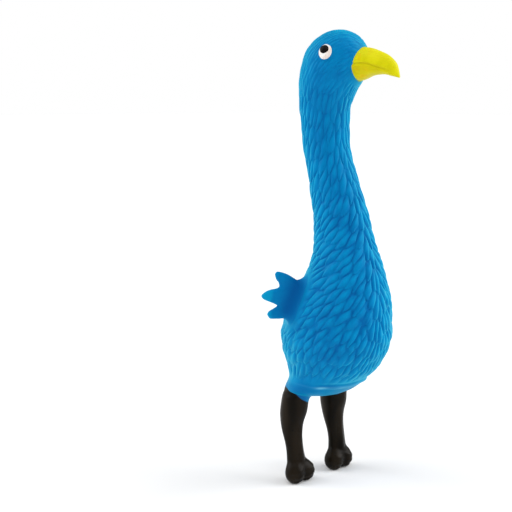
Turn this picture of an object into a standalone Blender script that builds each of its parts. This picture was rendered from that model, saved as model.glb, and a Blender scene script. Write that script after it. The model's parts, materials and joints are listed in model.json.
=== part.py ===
"""A long-necked squeaky bird toy, moulded in latex, about 350 mm tall.

Metres, +Z up. The bird faces -Y and its own left side is at +X. It stands on the
floor at z = 0, and the origin is on the floor under the middle of its outline.
The latex skin is hollow. It is divided at the places where it bends, and each
bend is a ball on one piece inside a cup on the next.
"""

import math

import bmesh
import bpy
from mathutils import Matrix, Vector

# Fits
GAP = 0.0003  # between pieces that stay together
PLAY = 0.0005  # between a ball and the cup that turns on it
SKIN = 0.0024  # thickness of the hollow latex

# Roundness
BODY_POINTS = 24
LEG_POINTS = 16
BEAK_POINTS = 20
ARC_STEP = math.radians(12)
HIDDEN_ARC_STEP = math.radians(25)

# The ankles are this far behind the middle of the outline
ANKLES_BEHIND = 0.0209

# Torso: height, how far ahead of the ankles, half width, half depth.
# The first rows are the smooth bowl between the legs, up to the feathered hem.
SQUEAKER_AHEAD = 0.0025
BASE_HEIGHT = 0.0677
TORSO_SECTIONS = (
    (BASE_HEIGHT, 0.0025, 0.0160, 0.0125),
    (0.0690, 0.0020, 0.0240, 0.0182),
    (0.0708, 0.0030, 0.0290, 0.0222),
    (0.0730, 0.0050, 0.0318, 0.0247),
    (0.0765, 0.0085, 0.0332, 0.0268),
    (0.0848, 0.0145, 0.0340, 0.0315),
    (0.0916, 0.0170, 0.0358, 0.0363),
    (0.1045, 0.0184, 0.0405, 0.0412),
    (0.1170, 0.0192, 0.0422, 0.0440),
    (0.1300, 0.0210, 0.0405, 0.0420),
    (0.1410, 0.0240, 0.0383, 0.0388),
    (0.1510, 0.0263, 0.0350, 0.0352),
    (0.1600, 0.0275, 0.0319, 0.0319),
    (0.1685, 0.0282, 0.0291, 0.0291),
)

# Neck: how far ahead, height and ball radius of each bend, from the torso up
NECK_BENDS = (
    (0.0285, 0.1750, 0.0270),
    (0.0235, 0.2050, 0.0215),
    (0.0146, 0.2340, 0.0190),
    (0.0070, 0.2620, 0.0180),
    (0.0057, 0.2900, 0.0198),
)
NECK_RIM_RADII = (0.0227, 0.0199, 0.0179, 0.0184)
CUP_ANGLE = math.radians(50)  # from the neck's line to the rim of a cup
AIRWAY_ANGLE = math.radians(30)  # half angle of the opening in a ball

# Head
HEAD_TURN = math.radians(15)  # to the bird's left
HEAD_RADIUS = 0.0255
HEAD_HEIGHT = 0.3210  # where the skull is widest
HEAD_LEFT = 0.0022
HEAD_AHEAD = 0.0135
CROWN_LEAN = 0.0045  # how far the top of the skull is ahead of its widest place
THROAT_LEAN = 0.0110  # how fast the throat falls back below it
THROAT_SWING = 1.6  # how fast the throat comes back to the middle
SKULL_ABOVE = 0.0263
SKULL_BELOW = 0.0382
SKULL_BOTTOM = 0.3025
AIRWAY_RADIUS = 0.0090

# Beak: distance along it, rise, half height and half width
BEAK_ROOT_AHEAD = 0.0142
BEAK_FROM_HEAD_AXIS = 0.0238
BEAK_HEIGHT = 0.3191
BEAK_SECTIONS = (
    (-0.0060, 0.0000, 0.0149, 0.0149),
    (0.0000, 0.0000, 0.0147, 0.0147),
    (0.0070, 0.0014, 0.0118, 0.0120),
    (0.0140, 0.0018, 0.0093, 0.0095),
    (0.0210, 0.0000, 0.0076, 0.0070),
    (0.0263, -0.0031, 0.0058, 0.0048),
    (0.0290, -0.0062, 0.0034, 0.0028),
    (0.0301, -0.0080, 0.0015, 0.0013),
)

# Eyes
EYE_HEIGHT = 0.3298
EYE_TURN = math.radians(85)  # from the beak's line
EYE_LIFT = math.radians(19)  # how far an eye looks up
EYE_SIZE = (0.0054, 0.0062, 0.0017)  # half width, half height, how far it stands out
PUPIL_SIZE = (0.0034, 0.0031, 0.0009)
PUPIL_UP = 0.0016

# Wings: each is a flat fan of three fingers in a plane through the body
WING_TURN = math.radians(118)  # from the front
WING_CENTRE_AHEAD = 0.0245
WING_HINGE_OUT = 0.0397
WING_HINGE_HEIGHT = 0.1470
WING_HINGE_SLOPE = -0.413  # outward change per unit of height, along the body
WING_THICKNESS = 0.0044
WING_BEAD_RADIUS = 0.0026
WING_CHANNEL_RADIUS = 0.0030
WING_PAD_RADIUS = 0.0050
WING_PAD_FACE = 0.0015  # inside the hinge line
WING_BEAD_LENGTH = 0.0300
WING_PAD_LENGTH = 0.0320
# Outward and upward from the middle of the hinge, along its edge, finger by finger
WING_OUTLINE = (
    (0.0059, -0.0150),
    (0.0115, -0.0151),
    (0.0172, -0.0148),
    (0.0200, -0.0114),
    (0.0180, -0.0086),
    (0.0124, -0.0052),
    (0.0190, -0.0016),
    (0.0246, 0.0031),
    (0.0195, 0.0066),
    (0.0108, 0.0092),
    (0.0130, 0.0150),
    (0.0134, 0.0200),
    (0.0090, 0.0202),
    (0.0030, 0.0176),
    (-0.0058, 0.0140),
)

# Legs, for the left side: how far left, ahead and up, and the ball radius
HIP = ((0.0215, -0.0030, 0.0600), 0.0100)
KNEE = ((0.0220, -0.0042, 0.0420), 0.0088)
ANKLE = ((0.0225, -0.0003, 0.0190), 0.0075)
LEG_TOP = 0.0640  # centre of the round top of the leg, inside the torso
HIP_CUP_ANGLE = math.radians(52)
KNEE_CUP_ANGLE = math.radians(46)
ANKLE_CUP_ANGLE = math.radians(56)
THIGH_RIM = 0.0096
SHIN_RIM = 0.0083
FOOT_RIM = 0.0078

# Feet: two round toes side by side
TOE_APART = 0.0055
TOE_AHEAD = 0.0022
TOE_SIZE = (0.0085, 0.0080, 0.0070)
TOE_HEIGHT = 0.0056

# Squeaker, pressed into the middle of the base
SQUEAKER_RADIUS = 0.0075
SQUEAKER_WALL = 0.0012
SQUEAKER_LENGTH = 0.0170
FLANGE_RADIUS = 0.0095
FLANGE_THICKNESS = 0.0014
SEAT_RADIUS = 0.0050
GRILLE_THICKNESS = 0.0010
GRILLE_HOLE_RADIUS = 0.0008
GRILLE_RING_RADIUS = 0.0033
GRILLE_HOLES = 6
PLATE_THICKNESS = 0.0012
PLATE_ABOVE_BASE = 0.0080
REED_SIZE = (0.0030, 0.0075, 0.00025)
SLOT_SIDE_PLAY = 0.0003

COLOURS = {
    "blue_latex": ((0.004, 0.190, 0.500), 0.42),
    "black_latex": ((0.012, 0.010, 0.008), 0.40),
    "yellow_latex": ((0.860, 0.680, 0.004), 0.35),
    "eye_white_paint": ((0.800, 0.780, 0.700), 0.30),
    "eye_black_paint": ((0.004, 0.004, 0.004), 0.25),
    "white_plastic": ((0.700, 0.700, 0.680), 0.45),
    "reed_plastic": ((0.750, 0.620, 0.350), 0.35),
}


def clear_scene():
    for thing in list(bpy.data.objects):
        bpy.data.objects.remove(thing)


def spot(ahead, height, left=0.0):
    """A point given from the floor between the ankles."""
    return Vector((left, ANKLES_BEHIND - ahead, height))


def direction(turn, lift=0.0):
    """A unit vector turned from the front towards the bird's left, then lifted."""
    flat = math.cos(lift)
    return Vector((flat * math.sin(turn), -flat * math.cos(turn), math.sin(lift)))


def material(name):
    """The Principled material of one of the toy's paints or plastics."""
    found = bpy.data.materials.get(name)
    if found:
        return found
    made = bpy.data.materials.new(name)
    made.use_nodes = True
    colour, roughness = COLOURS[name]
    shader = made.node_tree.nodes["Principled BSDF"]
    shader.inputs["Base Color"].default_value = (*colour, 1.0)
    shader.inputs["Roughness"].default_value = roughness
    shader.inputs["Metallic"].default_value = 0.0
    return made


def pivot(name, point, parent=None):
    """An empty on a joint, which its body's pieces and the next pivots hang from."""
    empty = bpy.data.objects.new(name + "_pivot", None)
    bpy.context.collection.objects.link(empty)
    empty.empty_display_size = 0.01
    empty.parent = parent
    empty.location = point - (Vector(parent["point"]) if parent else Vector())
    empty["point"] = point
    return empty


def add(name, mesh, body, origin, turn=None, finish=None):
    """An object made of mesh, hung from a body's pivot with its origin at a point."""
    thing = bpy.data.objects.new(name, mesh)
    bpy.context.collection.objects.link(thing)
    thing.parent = body
    thing.location = origin - Vector(body["point"])
    if turn is not None:
        thing.rotation_mode = "QUATERNION"
        thing.rotation_quaternion = turn
    if finish:
        mesh.materials.clear()
        mesh.materials.append(material(finish))
    return thing


def guide(name, mesh, body, origin, turn=None):
    """A cutter or a form, which isn't part of the toy."""
    thing = add(name, mesh, body, origin, turn)
    thing.hide_render = True
    thing.display_type = "WIRE"
    return thing


def combine(thing, other, operation):
    step = thing.modifiers.new(f"{operation}_{other.name}", "BOOLEAN")
    step.operation = operation
    step.solver = "EXACT"
    step.object = other


def finish_mesh(bm, name):
    """Turns the faces outward and makes the mesh, smooth but for its sharp edges."""
    bmesh.ops.recalc_face_normals(bm, faces=bm.faces)
    mesh = bpy.data.meshes.new(name)
    bm.to_mesh(mesh)
    bm.free()
    mesh.shade_smooth()
    mesh.set_sharp_from_angle(angle=math.radians(40))
    return mesh


def ellipse(centre, across, up, half_across, half_up, count):
    """Points of an ellipse in the plane of two directions."""
    points = []
    for i in range(count):
        angle = 2 * math.pi * i / count
        points.append(
            centre
            + across * (half_across * math.cos(angle))
            + up * (half_up * math.sin(angle))
        )
    return points


def flat_ring(section, grow=0.0):
    """A level ring of the torso or the skull."""
    height, ahead, half_width, half_depth, left = section
    across, along = Vector((1, 0, 0)), Vector((0, 1, 0))
    centre = spot(ahead, height, left)
    return ellipse(
        centre, across, along, half_width + grow, half_depth + grow, BODY_POINTS
    )


def loft(rings, name, capped=True):
    """A skin bridged from ring to ring, with its two ends filled or left open."""
    bm = bmesh.new()
    loops = []
    for ring in rings:
        verts = [bm.verts.new(p) for p in ring]
        loops.append([bm.edges.new(pair) for pair in zip(verts, verts[1:] + verts[:1])])
    for low, high in zip(loops, loops[1:]):
        bmesh.ops.bridge_loops(bm, edges=low + high)
    if capped:
        for end in (loops[0], loops[-1]):
            bmesh.ops.contextual_create(bm, geom=end)
    return finish_mesh(bm, name)


def turned(profile, name, steps, closed=True):
    """A shape turned about Z from a profile of (radius, height) points."""
    bm = bmesh.new()
    verts = [bm.verts.new((radius, 0, height)) for radius, height in profile]
    ends = verts[1:] + verts[:1] if closed else verts[1:]
    edges = [bm.edges.new(pair) for pair in zip(verts, ends)]
    bmesh.ops.spin(
        bm,
        geom=verts + edges,
        cent=(0, 0, 0),
        axis=(0, 0, 1),
        angle=2 * math.pi,
        steps=steps,
        use_merge=True,
    )
    bmesh.ops.remove_doubles(bm, verts=bm.verts, dist=1e-6)
    return finish_mesh(bm, name)


def arc(radius, start, end, height=0.0, step=ARC_STEP):
    """Profile points of a ball about (0, height), by angle from straight up."""
    steps = max(1, math.ceil(abs(end - start) / step))
    angles = [start + (end - start) * i / steps for i in range(steps + 1)]
    return [(radius * math.sin(a), height + radius * math.cos(a)) for a in angles]


def ball_mesh(size, name, points=LEG_POINTS):
    """A ball stretched to three half sizes."""
    bm = bmesh.new()
    bmesh.ops.create_uvsphere(
        bm,
        u_segments=points,
        v_segments=points // 2,
        radius=1.0,
        matrix=Matrix.Diagonal((*size, 1.0)),
    )
    return finish_mesh(bm, name)


def drum_mesh(radius, low, high, name, steps=LEG_POINTS):
    """A plain round bar between two heights."""
    profile = [(0, low), (radius, low), (radius, high), (0, high)]
    return turned(profile, name, steps, closed=False)


def towards(start, end):
    """The rotation that points local Z from start to end."""
    return (end - start).to_track_quat("Z", "Y")


def hollow_link(name, start, end, cup, rim, dome):
    """A piece of neck: a cup on the ball below, a hollow barrel, and its own ball."""
    length = (end - start).length
    cup_radius = cup + PLAY
    roof = cup_radius + SKIN
    corner = math.asin((rim - SKIN) / roof)
    profile = [(rim, cup_radius * math.cos(CUP_ANGLE))]
    profile += arc(dome, math.pi / 2, AIRWAY_ANGLE, length)
    profile += arc(dome - SKIN, AIRWAY_ANGLE, math.pi / 2, length, HIDDEN_ARC_STEP)
    profile += arc(roof, corner, AIRWAY_ANGLE, step=HIDDEN_ARC_STEP)
    profile += arc(cup_radius, AIRWAY_ANGLE, CUP_ANGLE)
    return turned(profile, name, BODY_POINTS)


def solid_link(name, start, end, cup, cup_angle, rim, dome):
    """A piece of leg: a cup on the ball above, and its own ball at the far end."""
    length = (end - start).length
    cup_radius = cup + PLAY
    profile = arc(cup_radius, 0, cup_angle)
    profile += [(rim, cup_radius * math.cos(cup_angle))]
    profile += arc(dome, math.pi / 2, 0, length)
    return turned(profile, name, LEG_POINTS, closed=False)


def torso_rings():
    """Level rings from the squeaker's hole, up the belly, to the airway of the ball."""
    hole = SQUEAKER_RADIUS + GAP
    sections = [(BASE_HEIGHT, SQUEAKER_AHEAD, hole, hole)] + list(TORSO_SECTIONS)
    ahead, centre, ball = NECK_BENDS[0]
    for radius, height in arc(ball, math.pi / 2, AIRWAY_ANGLE, centre):
        sections.append((height, ahead, radius, radius))
    return [flat_ring((*section, 0.0)) for section in sections]


def make_torso(body):
    mesh = loft(torso_rings(), "torso_shell", capped=False)
    torso = add("torso_shell", mesh, body, Vector(), finish="blue_latex")
    hollow = torso.modifiers.new("skin", "SOLIDIFY")
    hollow.thickness = SKIN
    hollow.offset = -1
    hollow.use_even_offset = True
    return torso


def leg_point(place, side):
    left, ahead, height = place
    return spot(ahead, height, side * left)


def leg_top_profile(radius):
    """A round-ended plug: the ball of the hip below, a round top inside the torso."""
    rise = LEG_TOP - HIP[0][2]
    quarter = math.pi / 2
    top = arc(radius, 0, quarter, rise, HIDDEN_ARC_STEP)
    return top + arc(radius, quarter, math.pi)


def make_leg(side, label, torso, root):
    """The fixed top of the leg, then thigh, shin and foot on their pivots."""
    hip, knee, ankle = (leg_point(p[0], side) for p in (HIP, KNEE, ANKLE))
    top_mesh = turned(leg_top_profile(HIP[1]), "leg_top", LEG_POINTS, closed=False)
    add(f"leg_top_{label}", top_mesh, root, hip, finish="black_latex")
    hole_mesh = turned(leg_top_profile(HIP[1] + GAP), "hole", LEG_POINTS, closed=False)
    combine(torso, guide(f"leg_hole_{label}", hole_mesh, root, hip), "DIFFERENCE")

    thigh = pivot(f"thigh_{label}", hip, root)
    mesh = solid_link("thigh", hip, knee, HIP[1], HIP_CUP_ANGLE, THIGH_RIM, KNEE[1])
    add(f"thigh_{label}", mesh, thigh, hip, towards(hip, knee), "black_latex")

    shin = pivot(f"shin_{label}", knee, thigh)
    mesh = solid_link("shin", knee, ankle, KNEE[1], KNEE_CUP_ANGLE, SHIN_RIM, ANKLE[1])
    add(f"shin_{label}", mesh, shin, knee, towards(knee, ankle), "black_latex")

    foot = pivot(f"foot_{label}", ankle, shin)
    make_foot(f"foot_{label}", side, foot, ankle)


def make_foot(name, side, body, ankle):
    """A stem under the ankle joined to two round toes, all cut flat at the floor."""
    down = towards(ankle, ankle - Vector((0, 0, 1)))
    cup_radius = ANKLE[1] + PLAY
    rim = cup_radius * math.cos(ANKLE_CUP_ANGLE)
    below_floor = ankle.z + 0.002
    profile = arc(cup_radius, 0, ANKLE_CUP_ANGLE)
    profile += [(FOOT_RIM, rim), (FOOT_RIM, below_floor), (0, below_floor)]
    stem = turned(profile, name, LEG_POINTS, closed=False)
    foot = add(name, stem, body, ankle, down, "black_latex")
    for toe_side in (-1, 1):
        place = ankle + Vector((toe_side * TOE_APART, -TOE_AHEAD, TOE_HEIGHT - ankle.z))
        toe_name = f"{name}_toe_{'outer' if toe_side == side else 'inner'}"
        combine(foot, guide(toe_name, ball_mesh(TOE_SIZE, toe_name), body, place), "UNION")
    floor = drum_mesh(0.03, -0.01, 0.0, "floor")
    on_floor = Vector((ankle.x, ankle.y, 0))
    combine(foot, guide(f"{name}_floor", floor, body, on_floor), "DIFFERENCE")


def wing_frame(side):
    """The middle of a wing's hinge line, and the rotation of the wing's plane."""
    out = direction(side * WING_TURN)
    middle = spot(WING_CENTRE_AHEAD, WING_HINGE_HEIGHT) + out * WING_HINGE_OUT
    turn = Matrix.Rotation(math.atan2(out.y, out.x), 3, "Z").to_quaternion()
    return middle, turn


def hinge_tilt():
    """The rotation, in the wing's plane, that lays local Z along the hinge line."""
    return Matrix.Rotation(math.atan(WING_HINGE_SLOPE), 3, "Y").to_quaternion()


def smooth_outline(points, steps):
    """A closed Catmull-Rom curve through flat points."""
    count = len(points)
    curve = []
    for i in range(count):
        a, b, c, d = (Vector(points[(i + k) % count]) for k in (-1, 0, 1, 2))
        for j in range(steps):
            t = j / steps
            curve.append(
                0.5
                * (
                    2 * b
                    + (c - a) * t
                    + (2 * a - 5 * b + 4 * c - d) * t**2
                    + (3 * b - a - 3 * c + d) * t**3
                )
            )
    return curve


def slab(outline, low, high, name, place):
    """An outline extruded between two distances; place turns its points into space."""
    bm = bmesh.new()
    face = bm.faces.new([bm.verts.new(place(p, low)) for p in outline])
    made = bmesh.ops.extrude_face_region(bm, geom=[face])
    moved = [v for v in made["geom"] if isinstance(v, bmesh.types.BMVert)]
    shift = place(outline[0], high) - place(outline[0], low)
    bmesh.ops.translate(bm, verts=moved, vec=shift)
    return finish_mesh(bm, name)


def wing_mesh():
    """The flat fan, with its thickness across the wing's plane."""
    half = WING_THICKNESS / 2
    outline = smooth_outline(WING_OUTLINE, 2)
    return slab(
        outline, -half, half, "wing", lambda p, across: Vector((p[0], across, p[1]))
    )


def pad_mesh():
    """The moulded channel that holds a wing's bead, lying along the hinge line."""

    def cut_angle(radius):
        return math.acos(-WING_PAD_FACE / radius)

    outer = cut_angle(WING_PAD_RADIUS)
    inner = cut_angle(WING_CHANNEL_RADIUS)
    section = []
    for radius, first in ((WING_PAD_RADIUS, outer), (WING_CHANNEL_RADIUS, inner)):
        last = 2 * math.pi - first
        if radius == WING_CHANNEL_RADIUS:
            first, last = last, first
        for i in range(9):
            angle = first + (last - first) * i / 8
            section.append((radius * math.cos(angle), radius * math.sin(angle)))
    half = WING_PAD_LENGTH / 2
    return slab(section, -half, half, "wing_pad", lambda p, h: Vector((p[0], p[1], h)))


def make_wing(side, label, torso, root, shape):
    middle, turn = wing_frame(side)
    along = turn @ hinge_tilt()
    combine(torso, guide(f"wing_pad_{label}", pad_mesh(), root, middle, along), "UNION")

    body = pivot(f"wing_{label}", middle, root)
    wing = add(f"wing_{label}", shape, body, middle, turn, "blue_latex")
    soft = wing.modifiers.new("soft_edge", "BEVEL")
    soft.width = 0.0011
    soft.segments = 1
    soft.limit_method = "ANGLE"
    soft.angle_limit = math.radians(50)
    half = WING_BEAD_LENGTH / 2
    bead = drum_mesh(WING_BEAD_RADIUS, -half, half, "bead", steps=16)
    combine(wing, guide(f"wing_bead_{label}", bead, body, middle, along), "UNION")


def make_neck(root):
    """Four hollow links, each pivoting on the ball of the one below."""
    body = root
    points = [spot(ahead, height) for ahead, height, _ in NECK_BENDS]
    radii = [radius for _, _, radius in NECK_BENDS]
    for i, rim in enumerate(NECK_RIM_RADII):
        name = f"neck_shell_{i + 1}"
        start, end = points[i], points[i + 1]
        body = pivot(name, start, body)
        mesh = hollow_link(name, start, end, radii[i], rim, radii[i + 1])
        add(name, mesh, body, start, towards(start, end), "blue_latex")
    return pivot("head", points[-1], body)


def skull_middle(rise):
    """How far ahead and left the skull's middle is, by rise as a share of its reach."""
    lean = CROWN_LEAN if rise >= 0 else THROAT_LEAN
    left = HEAD_LEFT * (1 + min(0.0, THROAT_SWING * rise))
    return HEAD_AHEAD + lean * rise, left


def skull_form(grow, name):
    """The skull and the throat as one solid, grown outward or shrunk by a distance."""
    lowest = math.asin((SKULL_BOTTOM - HEAD_HEIGHT) / SKULL_BELOW)
    angles = [lowest * share for share in (1, 2 / 3, 1 / 3)]
    angles += [math.radians(degrees) for degrees in (0, 15, 30, 45, 60, 75, 84)]
    rings = []
    for angle in angles:
        reach = SKULL_ABOVE if angle >= 0 else SKULL_BELOW
        height = HEAD_HEIGHT + (reach + grow) * math.sin(angle)
        radius = (HEAD_RADIUS + grow) * math.cos(angle)
        ahead, left = skull_middle(math.sin(angle))
        rings.append(flat_ring((height, ahead, radius, radius, left)))
    return loft(rings, name)


def beak_form(grow, name, sections):
    """The beak's outside, or its hollow, as rings across its line."""
    forward = direction(HEAD_TURN)
    across = direction(HEAD_TURN + math.pi / 2)
    base = spot(BEAK_ROOT_AHEAD, BEAK_HEIGHT, HEAD_LEFT) + forward * BEAK_FROM_HEAD_AXIS
    rings = []
    for along, rise, half_height, half_width in sections:
        centre = base + forward * along + Vector((0, 0, rise))
        ring = ellipse(
            centre,
            across,
            Vector((0, 0, 1)),
            half_width + grow,
            half_height + grow,
            BEAK_POINTS,
        )
        rings.append(ring)
    return loft(rings, name)


def make_head(body):
    bend = Vector(body["point"])
    ball = NECK_BENDS[-1][2] + PLAY
    head = add("head_shell", skull_form(0, "head_shell"), body, Vector(), finish="blue_latex")

    hollow = guide("head_hollow", skull_form(-SKIN, "head_hollow"), body, Vector())
    roof_mesh = ball_mesh((ball + SKIN,) * 3, "roof", BODY_POINTS)
    roof = guide("cup_roof", roof_mesh, body, bend)
    combine(hollow, roof, "DIFFERENCE")
    cup = guide("head_cup", ball_mesh((ball,) * 3, "cup", BODY_POINTS + 4), body, bend)
    airway_mesh = drum_mesh(AIRWAY_RADIUS, 0.0, ball + SKIN + 0.004, "airway")
    airway = guide("head_airway", airway_mesh, body, bend)
    for cutter in (hollow, cup, airway):
        combine(head, cutter, "DIFFERENCE")
    make_beak(body)
    for side, label in ((1, "left"), (-1, "right")):
        make_eye(side, label, body)


def make_beak(body):
    mesh = beak_form(0, "beak", BEAK_SECTIONS)
    beak = add("beak", mesh, body, Vector(), finish="yellow_latex")
    inside = [(-0.0100, *BEAK_SECTIONS[0][1:])] + list(BEAK_SECTIONS[1:5])
    hollow = guide("beak_hollow", beak_form(-SKIN, "beak_hollow", inside), body, Vector())
    skull = guide("beak_seat", skull_form(GAP, "beak_seat"), body, Vector())
    combine(beak, hollow, "DIFFERENCE")
    combine(beak, skull, "DIFFERENCE")


def make_eye(side, label, body):
    """A painted eye: a white shield on the skull and a black pupil on the white."""
    turn = HEAD_TURN + side * EYE_TURN
    rise = (EYE_HEIGHT - HEAD_HEIGHT) / SKULL_ABOVE
    radius = HEAD_RADIUS * math.sqrt(1 - rise**2)
    ahead, left = skull_middle(rise)
    middle = spot(ahead, EYE_HEIGHT, left) + direction(turn) * radius
    outward = direction(turn, EYE_LIFT)
    facing = outward.to_track_quat("Z", "Y")
    upward = facing @ Vector((0, 1, 0))

    white = add(
        f"eye_white_{label}",
        ball_mesh(EYE_SIZE, "eye_white"),
        body,
        middle,
        facing,
        "eye_white_paint",
    )
    seat = guide(f"eye_seat_{label}", skull_form(GAP, "eye_seat"), body, Vector())
    combine(white, seat, "DIFFERENCE")

    on_white = middle + upward * PUPIL_UP + outward * (EYE_SIZE[2] - 0.0002)
    pupil = add(
        f"pupil_{label}",
        ball_mesh(PUPIL_SIZE, "pupil"),
        body,
        on_white,
        facing,
        "eye_black_paint",
    )
    grown = tuple(size + GAP for size in EYE_SIZE)
    shield = guide(f"pupil_seat_{label}", ball_mesh(grown, "pupil_seat"), body, middle, facing)
    combine(pupil, shield, "DIFFERENCE")


def make_squeaker(root):
    """A housing with an inner lip, and in it a grille, a slotted plate and a reed."""
    base = spot(SQUEAKER_AHEAD, BASE_HEIGHT - GAP)
    inside = SQUEAKER_RADIUS - SQUEAKER_WALL
    lip = -FLANGE_THICKNESS + SQUEAKER_WALL
    profile = (
        (SEAT_RADIUS, -FLANGE_THICKNESS),
        (FLANGE_RADIUS, -FLANGE_THICKNESS),
        (FLANGE_RADIUS, 0),
        (SQUEAKER_RADIUS, 0),
        (SQUEAKER_RADIUS, SQUEAKER_LENGTH),
        (inside, SQUEAKER_LENGTH),
        (inside, lip),
        (SEAT_RADIUS, lip),
    )
    housing = turned(profile, "squeaker_housing", LEG_POINTS)
    add("squeaker_housing", housing, root, base, finish="white_plastic")

    disc_radius = inside - GAP
    grille_low = lip + GAP
    disc = drum_mesh(disc_radius, grille_low, grille_low + GRILLE_THICKNESS, "grille")
    grille = add("squeaker_grille", disc, root, base, finish="white_plastic")
    for i in range(GRILLE_HOLES):
        angle = 2 * math.pi * i / GRILLE_HOLES
        offset = Vector((math.cos(angle), math.sin(angle), 0)) * GRILLE_RING_RADIUS
        hole = drum_mesh(GRILLE_HOLE_RADIUS, -0.002, 0.004, "grille_hole", steps=10)
        combine(grille, guide(f"grille_hole_{i}", hole, root, base + offset), "DIFFERENCE")

    top = PLATE_ABOVE_BASE + PLATE_THICKNESS
    disc = drum_mesh(disc_radius, PLATE_ABOVE_BASE, top, "squeaker_tone_plate")
    plate = add("squeaker_tone_plate", disc, root, base, finish="white_plastic")
    width, length, thickness = REED_SIZE
    half_slot = width / 2 + SLOT_SIDE_PLAY
    slot_outline = (
        (-half_slot, -length / 2 - SLOT_SIDE_PLAY),
        (half_slot, -length / 2 - SLOT_SIDE_PLAY),
        (half_slot, length / 2 - SLOT_SIDE_PLAY),
        (-half_slot, length / 2 - SLOT_SIDE_PLAY),
    )
    low, high = PLATE_ABOVE_BASE - 0.002, top + 0.002
    cut = slab(slot_outline, low, high, "slot", lambda p, h: Vector((p[0], p[1], h)))
    combine(plate, guide("reed_slot", cut, root, base), "DIFFERENCE")

    # the reed is held at its back end and swings at its front end
    held = base + Vector((0, length / 2, top + GAP + thickness / 2))
    body = pivot("reed", held, root)
    half = width / 2
    strip = ((-half, 0), (-half, -length), (half, -length), (half, 0))
    mesh = slab(
        strip,
        -thickness / 2,
        thickness / 2,
        "squeaker_reed",
        lambda p, h: Vector((p[0], p[1], h)),
    )
    add("squeaker_reed", mesh, body, held, finish="reed_plastic")


def build():
    clear_scene()
    root = pivot("torso", Vector())
    torso = make_torso(root)
    wing = wing_mesh()
    for side, label in ((1, "left"), (-1, "right")):
        make_wing(side, label, torso, root, wing)
        make_leg(side, label, torso, root)
    make_squeaker(root)
    make_head(make_neck(root))


build()
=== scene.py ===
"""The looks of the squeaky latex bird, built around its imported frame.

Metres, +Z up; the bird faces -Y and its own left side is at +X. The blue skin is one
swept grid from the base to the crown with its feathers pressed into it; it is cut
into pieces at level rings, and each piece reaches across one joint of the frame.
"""

import json
from itertools import product
from math import cos, inf, pi, radians, sin

import bpy
import numpy as np
from mathutils import Matrix, Vector
from mathutils.kdtree import KDTree


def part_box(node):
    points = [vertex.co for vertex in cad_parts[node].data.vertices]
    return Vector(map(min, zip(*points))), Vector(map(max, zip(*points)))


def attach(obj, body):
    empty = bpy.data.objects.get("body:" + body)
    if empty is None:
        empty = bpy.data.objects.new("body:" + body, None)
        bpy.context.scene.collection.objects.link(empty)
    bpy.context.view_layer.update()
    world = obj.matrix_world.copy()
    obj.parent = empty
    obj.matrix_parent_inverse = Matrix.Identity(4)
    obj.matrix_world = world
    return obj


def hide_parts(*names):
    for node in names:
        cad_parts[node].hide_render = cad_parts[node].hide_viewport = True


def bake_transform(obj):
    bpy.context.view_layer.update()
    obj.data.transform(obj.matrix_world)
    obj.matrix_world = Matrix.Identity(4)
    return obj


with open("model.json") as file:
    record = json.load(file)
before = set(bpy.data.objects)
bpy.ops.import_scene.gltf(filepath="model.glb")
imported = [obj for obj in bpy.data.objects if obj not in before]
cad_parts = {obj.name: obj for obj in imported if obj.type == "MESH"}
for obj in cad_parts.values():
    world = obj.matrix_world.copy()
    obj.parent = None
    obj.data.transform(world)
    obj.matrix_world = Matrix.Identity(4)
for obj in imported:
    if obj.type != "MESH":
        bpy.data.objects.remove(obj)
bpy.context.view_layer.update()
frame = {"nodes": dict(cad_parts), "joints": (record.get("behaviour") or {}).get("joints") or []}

SEED = 7
MM = 0.001
RING_POINTS = 320  # around the blue skin
RING_STEP = 0.00075  # between its rings
WING_STEP = 0.0005  # between the points of a wing
LEG_STEP = 0.00055  # between the points of a leg
UNDER_SKIN = 0.0004  # how deep the flares of wings and legs run below the skin

# Heights at which the blue skin takes its outline from the CAD
TORSO_MM = (69, 70.8, 73, 76.5, 84.8, 91.6, 98, 104.5, 110.7, 117, 123.5)
TORSO_MM += (130, 141, 151, 160, 168.5, 175)
NECK_SHARES = (0.74, 0.72, 0.62, 0.5)  # of the way from one neck joint to the next
HEAD_MM = (304, 308.9, 315, 320.8)
CROWN_HEIGHT = 0.3212  # where the top of the skull begins
CROWN_LEAN = 0.0045  # how far its tip is forward of the head's middle
BELLY_SLIM = 0.0022  # the belly's front is slimmer than the CAD's by this much
BELLY_HEIGHT, BELLY_REACH = 0.088, 0.013  # where, and how far up and down

# Feathers: the leaf's shape, the grooves between them, and their full width and length
LEAF_POWER = 1.5
GROOVE_WIDTH = 0.00140
GROOVE_DEPTH = 0.00078
FEATHER_CROWN = 0.00034  # how far a feather's middle swells
FEATHER_LIFT = 0.00026  # how far its tip stands off, and its root sinks in
FEATHER_SINK = 0.0003  # how far all the feathers are pressed in
FEATHER_MOVES = 4
FEATHER_HEIGHTS = (0.07, 0.12, 0.15, 0.19, 0.24, 0.285, 0.305, 0.33, 0.35)
FEATHER_WIDE_MM = (3.7, 4.4, 5.0, 4.9, 4.4, 3.9, 3.1, 2.5, 2.3)
FEATHER_LONG_MM = (11.0, 12.6, 14.0, 14.6, 14.8, 13.6, 12.0, 10.5, 10.0)
HEM_HEIGHT = 0.0800  # the rolled lip under the belly, below the last feathers

# Studio: how bright the surroundings are, and each lamp's name, turn from the camera
# (towards the right of the picture), lift in degrees and strength
WORLD_LIGHT = 0.5
STUDIO_LIGHTS = (
    ("left", -95, 32, 1.3),
    ("right", 95, 32, 2.0),
    ("top", -20, 70, 0.6),
)
LAMP_SPREAD = radians(50)  # broad lamps give soft shadows
FLOOR_HALF = 20  # metres from the middle of the floor to its sides
FLOOR_CORNERS = ((-1, -1), (1, -1), (1, 1), (-1, 1))

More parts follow.
